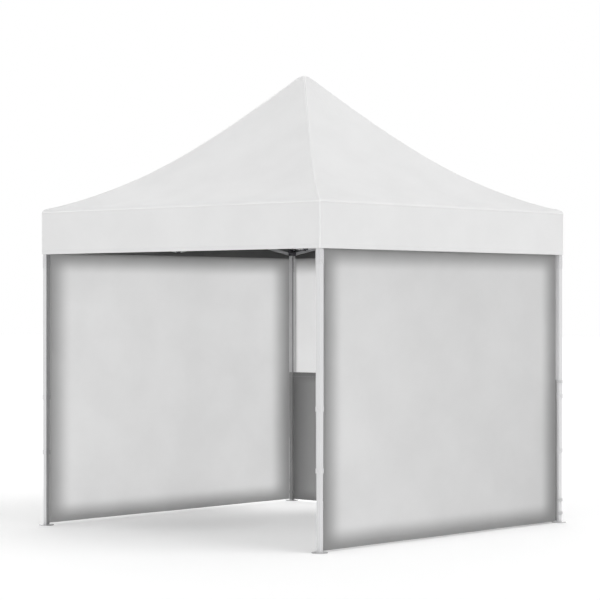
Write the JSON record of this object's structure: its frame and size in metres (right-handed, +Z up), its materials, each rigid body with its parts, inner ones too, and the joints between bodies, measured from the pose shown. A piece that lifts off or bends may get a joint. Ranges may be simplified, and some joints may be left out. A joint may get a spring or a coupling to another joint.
{
  "type": "pop up gazebo",
  "caption": "Square pop up gazebo: folding scissor frame on telescopic legs, peaked fabric canopy with valance, full side walls and a half wall.",
  "frame": {"origin": "on the ground, under the peak", "axes": "+Z up, -Y the south side and +X the east side; the west side is open"},
  "size_m": [3.01, 3.01, 3.572],
  "materials": {
    "bar_alloy": "satin mill finish",
    "leg_alloy": "satin pale grey powder coat",
    "joiner_nylon": "moulded nylon",
    "pin_steel": "zinc plated",
    "canopy_cloth": "white coated polyester",
    "wall_cloth": "white coated polyester, thin"
  },
  "bodies": {
    "root": {"upper_hub": "joiner_nylon", "canopy": "canopy_cloth", "wall_south": "wall_cloth", "wall_east": "wall_cloth", "wall_north": "wall_cloth", "half_wall_east": "wall_cloth"},
    "south_centre_bar_1": {"south_centre_bar_1": "bar_alloy"},
    "south_centre_bar_2": {"south_centre_bar_2": "bar_alloy"},
    "south_truss_bar_1": {"south_truss_bar_1": "bar_alloy"},
    "south_truss_bar_2": {"south_truss_bar_2": "bar_alloy"},
    "south_truss_bar_3": {"south_truss_bar_3": "bar_alloy"},
    "south_truss_bar_4": {"south_truss_bar_4": "bar_alloy"},
    "south_upper_joiner": {"south_upper_joiner": "joiner_nylon"},
    "south_lower_joiner": {"south_lower_joiner": "joiner_nylon"},
    "lower_hub": {"lower_hub": "joiner_nylon", "peak_pole": "leg_alloy"},
    "leg_se_upper": {"leg_se_upper_tube": "leg_alloy"},
    "leg_se_slider": {"leg_se_slider": "joiner_nylon"},
    "leg_se_middle": {"leg_se_middle_tube": "leg_alloy"},
    "leg_se_lower": {"leg_se_lower_tube": "leg_alloy"},
    "leg_se_pull_pin": {"leg_se_pull_pin": "pin_steel"},
    "east_centre_bar_1": {"east_centre_bar_1": "bar_alloy"},
    "east_centre_bar_2": {"east_centre_bar_2": "bar_alloy"},
    "east_truss_bar_1": {"east_truss_bar_1": "bar_alloy"},
    "east_truss_bar_2": {"east_truss_bar_2": "bar_alloy"},
    "east_truss_bar_3": {"east_truss_bar_3": "bar_alloy"},
    "east_truss_bar_4": {"east_truss_bar_4": "bar_alloy"},
    "east_upper_joiner": {"east_upper_joiner": "joiner_nylon"},
    "east_lower_joiner": {"east_lower_joiner": "joiner_nylon"},
    "leg_ne_upper": {"leg_ne_upper_tube": "leg_alloy"},
    "leg_ne_slider": {"leg_ne_slider": "joiner_nylon"},
    "leg_ne_middle": {"leg_ne_middle_tube": "leg_alloy"},
    "leg_ne_lower": {"leg_ne_lower_tube": "leg_alloy"},
    "leg_ne_pull_pin": {"leg_ne_pull_pin": "pin_steel"},
    "north_centre_bar_1": {"north_centre_bar_1": "bar_alloy"},
    "north_centre_bar_2": {"north_centre_bar_2": "bar_alloy"},
    "north_truss_bar_1": {"north_truss_bar_1": "bar_alloy"},
    "north_truss_bar_2": {"north_truss_bar_2": "bar_alloy"},
    "north_truss_bar_3": {"north_truss_bar_3": "bar_alloy"},
    "north_truss_bar_4": {"north_truss_bar_4": "bar_alloy"},
    "north_upper_joiner": {"north_upper_joiner": "joiner_nylon"},
    "north_lower_joiner": {"north_lower_joiner": "joiner_nylon"},
    "leg_nw_upper": {"leg_nw_upper_tube": "leg_alloy"},
    "leg_nw_slider": {"leg_nw_slider": "joiner_nylon"},
    "leg_nw_middle": {"leg_nw_middle_tube": "leg_alloy"},
    "leg_nw_lower": {"leg_nw_lower_tube": "leg_alloy"},
    "leg_nw_pull_pin": {"leg_nw_pull_pin": "pin_steel"},
    "west_centre_bar_1": {"west_centre_bar_1": "bar_alloy"},
    "west_centre_bar_2": {"west_centre_bar_2": "bar_alloy"},
    "west_truss_bar_1": {"west_truss_bar_1": "bar_alloy"},
    "west_truss_bar_2": {"west_truss_bar_2": "bar_alloy"},
    "west_truss_bar_3": {"west_truss_bar_3": "bar_alloy"},
    "west_truss_bar_4": {"west_truss_bar_4": "bar_alloy"},
    "west_upper_joiner": {"west_upper_joiner": "joiner_nylon"},
    "west_lower_joiner": {"west_lower_joiner": "joiner_nylon"},
    "leg_sw_upper": {"leg_sw_upper_tube": "leg_alloy"},
    "leg_sw_slider": {"leg_sw_slider": "joiner_nylon"},
    "leg_sw_middle": {"leg_sw_middle_tube": "leg_alloy"},
    "leg_sw_lower": {"leg_sw_lower_tube": "leg_alloy"},
    "leg_sw_pull_pin": {"leg_sw_pull_pin": "pin_steel"}
  },
  "joints": [
    {"name": "frame_fold", "type": "hinge", "parent": "root", "child": "south_centre_bar_1", "pos_m": [0, -0.029, 2.45], "axis": [1, 0, 0], "range_deg": [0, 77], "deforming": ["wall_south", "wall_east", "wall_north", "half_wall_east"]},
    {"name": "south_lower_joiner_pivot", "type": "hinge", "parent": "south_centre_bar_1", "child": "south_lower_joiner", "pos_m": [0, -1.41, 2.195], "axis": [-1, 0, 0], "range_deg": [0, 77]},
    {"name": "south_centre_cross_pivot", "type": "hinge", "parent": "south_centre_bar_1", "child": "south_centre_bar_2", "pos_m": [0, -0.7195, 2.3225], "axis": [-1, 0, 0], "range_deg": [0, 154]},
    {"name": "south_upper_joiner_pivot", "type": "hinge", "parent": "south_centre_bar_2", "child": "south_upper_joiner", "pos_m": [0, -1.41, 2.45], "axis": [1, 0, 0], "range_deg": [0, 77]},
    {"name": "lower_hub_pivot", "type": "hinge", "parent": "south_centre_bar_2", "child": "lower_hub", "pos_m": [0, -0.029, 2.195], "axis": [1, 0, 0], "range_deg": [0, 77]},
    {"name": "south_truss_pivot_2", "type": "hinge", "parent": "south_lower_joiner", "child": "south_truss_bar_2", "pos_m": [0.022, -1.43, 2.195], "axis": [0, -1, 0], "range_deg": [0, 77]},
    {"name": "south_truss_pivot_4", "type": "hinge", "parent": "south_lower_joiner", "child": "south_truss_bar_4", "pos_m": [-0.022, -1.43, 2.195], "axis": [0, 1, 0], "range_deg": [0, 77]},
    {"name": "south_cross_pivot_1", "type": "hinge", "parent": "south_truss_bar_2", "child": "south_truss_bar_1", "pos_m": [0.7125, -1.437, 2.3225], "axis": [0, 1, 0], "range_deg": [0, 154]},
    {"name": "south_cross_pivot_3", "type": "hinge", "parent": "south_truss_bar_4", "child": "south_truss_bar_3", "pos_m": [-0.7125, -1.437, 2.3225], "axis": [0, -1, 0], "range_deg": [0, 154]},
    {"name": "leg_se_head_pivot", "type": "hinge", "parent": "south_truss_bar_2", "child": "leg_se_upper", "pos_m": [1.403, -1.43, 2.45], "axis": [0, 1, 0], "range_deg": [0, 77]},
    {"name": "leg_se_slider_pivot", "type": "hinge", "parent": "south_truss_bar_1", "child": "leg_se_slider", "pos_m": [1.403, -1.444, 2.195], "axis": [0, -1, 0], "range_deg": [0, 77]},
    {"name": "leg_se_middle_slide", "type": "slide", "parent": "leg_se_upper", "child": "leg_se_middle", "axis": [0, 0, 1], "range_m": [0, 0.4], "stiffness_N_per_m": 20000, "springref_m": -0.015},
    {"name": "leg_se_lower_slide", "type": "slide", "parent": "leg_se_middle", "child": "leg_se_lower", "axis": [0, 0, 1], "range_m": [0, 0.5], "stiffness_N_per_m": 20000, "springref_m": -0.015},
    {"name": "leg_se_pin_pull", "type": "slide", "parent": "leg_se_slider", "child": "leg_se_pull_pin", "axis": [-1, 0, 0], "range_m": [0, 0.008]},
    {"name": "east_hub_pivot", "type": "hinge", "parent": "root", "child": "east_centre_bar_1", "pos_m": [0.029, 0, 2.45], "axis": [0, 1, 0], "range_deg": [0, 77]},
    {"name": "east_lower_joiner_pivot", "type": "hinge", "parent": "east_centre_bar_1", "child": "east_lower_joiner", "pos_m": [1.41, 0, 2.195], "axis": [0, -1, 0], "range_deg": [0, 77]},
    {"name": "east_centre_cross_pivot", "type": "hinge", "parent": "east_centre_bar_1", "child": "east_centre_bar_2", "pos_m": [0.7195, 0, 2.3225], "axis": [0, -1, 0], "range_deg": [0, 154]},
    {"name": "east_upper_joiner_pivot", "type": "hinge", "parent": "east_centre_bar_2", "child": "east_upper_joiner", "pos_m": [1.41, 0, 2.45], "axis": [0, 1, 0], "range_deg": [0, 77]},
    {"name": "east_truss_pivot_2", "type": "hinge", "parent": "east_lower_joiner", "child": "east_truss_bar_2", "pos_m": [1.43, 0.022, 2.195], "axis": [1, 0, 0], "range_deg": [0, 77]},
    {"name": "east_truss_pivot_4", "type": "hinge", "parent": "east_lower_joiner", "child": "east_truss_bar_4", "pos_m": [1.43, -0.022, 2.195], "axis": [-1, 0, 0], "range_deg": [0, 77]},
    {"name": "east_cross_pivot_1", "type": "hinge", "parent": "east_truss_bar_2", "child": "east_truss_bar_1", "pos_m": [1.437, 0.7125, 2.3225], "axis": [-1, 0, 0], "range_deg": [0, 154]},
    {"name": "east_cross_pivot_3", "type": "hinge", "parent": "east_truss_bar_4", "child": "east_truss_bar_3", "pos_m": [1.437, -0.7125, 2.3225], "axis": [1, 0, 0], "range_deg": [0, 154]},
    {"name": "leg_ne_head_pivot", "type": "hinge", "parent": "east_truss_bar_2", "child": "leg_ne_upper", "pos_m": [1.43, 1.403, 2.45], "axis": [-1, 0, 0], "range_deg": [0, 77]},
    {"name": "leg_ne_slider_pivot", "type": "hinge", "parent": "east_truss_bar_1", "child": "leg_ne_slider", "pos_m": [1.444, 1.403, 2.195], "axis": [1, 0, 0], "range_deg": [0, 77]},
    {"name": "leg_ne_middle_slide", "type": "slide", "parent": "leg_ne_upper", "child": "leg_ne_middle", "axis": [0, 0, 1], "range_m": [0, 0.4], "stiffness_N_per_m": 20000, "springref_m": -0.015},
    {"name": "leg_ne_lower_slide", "type": "slide", "parent": "leg_ne_middle", "child": "leg_ne_lower", "axis": [0, 0, 1], "range_m": [0, 0.5], "stiffness_N_per_m": 20000, "springref_m": -0.015},
    {"name": "leg_ne_pin_pull", "type": "slide", "parent": "leg_ne_slider", "child": "leg_ne_pull_pin", "axis": [0, -1, 0], "range_m": [0, 0.008]},
    {"name": "north_hub_pivot", "type": "hinge", "parent": "root", "child": "north_centre_bar_1", "pos_m": [0, 0.029, 2.45], "axis": [-1, 0, 0], "range_deg": [0, 77]},
    {"name": "north_lower_joiner_pivot", "type": "hinge", "parent": "north_centre_bar_1", "child": "north_lower_joiner", "pos_m": [0, 1.41, 2.195], "axis": [1, 0, 0], "range_deg": [0, 77]},
    {"name": "north_centre_cross_pivot", "type": "hinge", "parent": "north_centre_bar_1", "child": "north_centre_bar_2", "pos_m": [0, 0.7195, 2.3225], "axis": [1, 0, 0], "range_deg": [0, 154]},
    {"name": "north_upper_joiner_pivot", "type": "hinge", "parent": "north_centre_bar_2", "child": "north_upper_joiner", "pos_m": [0, 1.41, 2.45], "axis": [-1, 0, 0], "range_deg": [0, 77]},
    {"name": "north_truss_pivot_2", "type": "hinge", "parent": "north_lower_joiner", "child": "north_truss_bar_2", "pos_m": [-0.022, 1.43, 2.195], "axis": [0, 1, 0], "range_deg": [0, 77]},
    {"name": "north_truss_pivot_4", "type": "hinge", "parent": "north_lower_joiner", "child": "north_truss_bar_4", "pos_m": [0.022, 1.43, 2.195], "axis": [0, -1, 0], "range_deg": [0, 77]},
    {"name": "north_cross_pivot_1", "type": "hinge", "parent": "north_truss_bar_2", "child": "north_truss_bar_1", "pos_m": [-0.7125, 1.437, 2.3225], "axis": [0, -1, 0], "range_deg": [0, 154]},
    {"name": "north_cross_pivot_3", "type": "hinge", "parent": "north_truss_bar_4", "child": "north_truss_bar_3", "pos_m": [0.7125, 1.437, 2.3225], "axis": [0, 1, 0], "range_deg": [0, 154]},
    {"name": "leg_nw_head_pivot", "type": "hinge", "parent": "north_truss_bar_2", "child": "leg_nw_upper", "pos_m": [-1.403, 1.43, 2.45], "axis": [0, -1, 0], "range_deg": [0, 77]},
    {"name": "leg_nw_slider_pivot", "type": "hinge", "parent": "north_truss_bar_1", "child": "leg_nw_slider", "pos_m": [-1.403, 1.444, 2.195], "axis": [0, 1, 0], "range_deg": [0, 77]},
    {"name": "leg_nw_middle_slide", "type": "slide", "parent": "leg_nw_upper", "child": "leg_nw_middle", "axis": [0, 0, 1], "range_m": [0, 0.4], "stiffness_N_per_m": 20000, "springref_m": -0.015},
    {"name": "leg_nw_lower_slide", "type": "slide", "parent": "leg_nw_middle", "child": "leg_nw_lower", "axis": [0, 0, 1], "range_m": [0, 0.5], "stiffness_N_per_m": 20000, "springref_m": -0.015},
    {"name": "leg_nw_pin_pull", "type": "slide", "parent": "leg_nw_slider", "child": "leg_nw_pull_pin", "axis": [1, 0, 0], "range_m": [0, 0.008]},
    {"name": "west_hub_pivot", "type": "hinge", "parent": "root", "child": "west_centre_bar_1", "pos_m": [-0.029, 0, 2.45], "axis": [0, -1, 0], "range_deg": [0, 77]},
    {"name": "west_lower_joiner_pivot", "type": "hinge", "parent": "west_centre_bar_1", "child": "west_lower_joiner", "pos_m": [-1.41, 0, 2.195], "axis": [0, 1, 0], "range_deg": [0, 77]},
    {"name": "west_centre_cross_pivot", "type": "hinge", "parent": "west_centre_bar_1", "child": "west_centre_bar_2", "pos_m": [-0.7195, 0, 2.3225], "axis": [0, 1, 0], "range_deg": [0, 154]},
    {"name": "west_upper_joiner_pivot", "type": "hinge", "parent": "west_centre_bar_2", "child": "west_upper_joiner", "pos_m": [-1.41, 0, 2.45], "axis": [0, -1, 0], "range_deg": [0, 77]},
    {"name": "west_truss_pivot_2", "type": "hinge", "parent": "west_lower_joiner", "child": "west_truss_bar_2", "pos_m": [-1.43, -0.022, 2.195], "axis": [-1, 0, 0], "range_deg": [0, 77]},
    {"name": "west_truss_pivot_4", "type": "hinge", "parent": "west_lower_joiner", "child": "west_truss_bar_4", "pos_m": [-1.43, 0.022, 2.195], "axis": [1, 0, 0], "range_deg": [0, 77]},
    {"name": "west_cross_pivot_1", "type": "hinge", "parent": "west_truss_bar_2", "child": "west_truss_bar_1", "pos_m": [-1.437, -0.7125, 2.3225], "axis": [1, 0, 0], "range_deg": [0, 154]},
    {"name": "west_cross_pivot_3", "type": "hinge", "parent": "west_truss_bar_4", "child": "west_truss_bar_3", "pos_m": [-1.437, 0.7125, 2.3225], "axis": [-1, 0, 0], "range_deg": [0, 154]},
    {"name": "leg_sw_head_pivot", "type": "hinge", "parent": "west_truss_bar_2", "child": "leg_sw_upper", "pos_m": [-1.43, -1.403, 2.45], "axis": [1, 0, 0], "range_deg": [0, 77]},
    {"name": "leg_sw_slider_pivot", "type": "hinge", "parent": "west_truss_bar_1", "child": "leg_sw_slider", "pos_m": [-1.444, -1.403, 2.195], "axis": [-1, 0, 0], "range_deg": [0, 77]},
    {"name": "leg_sw_middle_slide", "type": "slide", "parent": "leg_sw_upper", "child": "leg_sw_middle", "axis": [0, 0, 1], "range_m": [0, 0.4], "stiffness_N_per_m": 20000, "springref_m": -0.015},
    {"name": "leg_sw_lower_slide", "type": "slide", "parent": "leg_sw_middle", "child": "leg_sw_lower", "axis": [0, 0, 1], "range_m": [0, 0.5], "stiffness_N_per_m": 20000, "springref_m": -0.015},
    {"name": "leg_sw_pin_pull", "type": "slide", "parent": "leg_sw_slider", "child": "leg_sw_pull_pin", "axis": [0, 1, 0], "range_m": [0, 0.008]}
  ],
  "couplings": [
    {"joint": "south_lower_joiner_pivot", "follows": "frame_fold", "ratio": 1},
    {"joint": "south_centre_cross_pivot", "follows": "frame_fold", "ratio": 2},
    {"joint": "south_upper_joiner_pivot", "follows": "frame_fold", "ratio": 1},
    {"joint": "lower_hub_pivot", "follows": "frame_fold", "ratio": 1},
    {"joint": "south_truss_pivot_2", "follows": "frame_fold", "ratio": 1},
    {"joint": "south_truss_pivot_4", "follows": "frame_fold", "ratio": 1},
    {"joint": "south_cross_pivot_1", "follows": "frame_fold", "ratio": 2},
    {"joint": "south_cross_pivot_3", "follows": "frame_fold", "ratio": 2},
    {"joint": "leg_se_head_pivot", "follows": "frame_fold", "ratio": 1},
    {"joint": "leg_se_slider_pivot", "follows": "frame_fold", "ratio": 1},
    {"joint": "east_hub_pivot", "follows": "frame_fold", "ratio": 1},
    {"joint": "east_lower_joiner_pivot", "follows": "frame_fold", "ratio": 1},
    {"joint": "east_centre_cross_pivot", "follows": "frame_fold", "ratio": 2},
    {"joint": "east_upper_joiner_pivot", "follows": "frame_fold", "ratio": 1},
    {"joint": "east_truss_pivot_2", "follows": "frame_fold", "ratio": 1},
    {"joint": "east_truss_pivot_4", "follows": "frame_fold", "ratio": 1},
    {"joint": "east_cross_pivot_1", "follows": "frame_fold", "ratio": 2},
    {"joint": "east_cross_pivot_3", "follows": "frame_fold", "ratio": 2},
    {"joint": "leg_ne_head_pivot", "follows": "frame_fold", "ratio": 1},
    {"joint": "leg_ne_slider_pivot", "follows": "frame_fold", "ratio": 1},
    {"joint": "north_hub_pivot", "follows": "frame_fold", "ratio": 1},
    {"joint": "north_lower_joiner_pivot", "follows": "frame_fold", "ratio": 1},
    {"joint": "north_centre_cross_pivot", "follows": "frame_fold", "ratio": 2},
    {"joint": "north_upper_joiner_pivot", "follows": "frame_fold", "ratio": 1},
    {"joint": "north_truss_pivot_2", "follows": "frame_fold", "ratio": 1},
    {"joint": "north_truss_pivot_4", "follows": "frame_fold", "ratio": 1},
    {"joint": "north_cross_pivot_1", "follows": "frame_fold", "ratio": 2},
    {"joint": "north_cross_pivot_3", "follows": "frame_fold", "ratio": 2},
    {"joint": "leg_nw_head_pivot", "follows": "frame_fold", "ratio": 1},
    {"joint": "leg_nw_slider_pivot", "follows": "frame_fold", "ratio": 1},
    {"joint": "west_hub_pivot", "follows": "frame_fold", "ratio": 1},
    {"joint": "west_lower_joiner_pivot", "follows": "frame_fold", "ratio": 1},
    {"joint": "west_centre_cross_pivot", "follows": "frame_fold", "ratio": 2},
    {"joint": "west_upper_joiner_pivot", "follows": "frame_fold", "ratio": 1},
    {"joint": "west_truss_pivot_2", "follows": "frame_fold", "ratio": 1},
    {"joint": "west_truss_pivot_4", "follows": "frame_fold", "ratio": 1},
    {"joint": "west_cross_pivot_1", "follows": "frame_fold", "ratio": 2},
    {"joint": "west_cross_pivot_3", "follows": "frame_fold", "ratio": 2},
    {"joint": "leg_sw_head_pivot", "follows": "frame_fold", "ratio": 1},
    {"joint": "leg_sw_slider_pivot", "follows": "frame_fold", "ratio": 1}
  ]
}
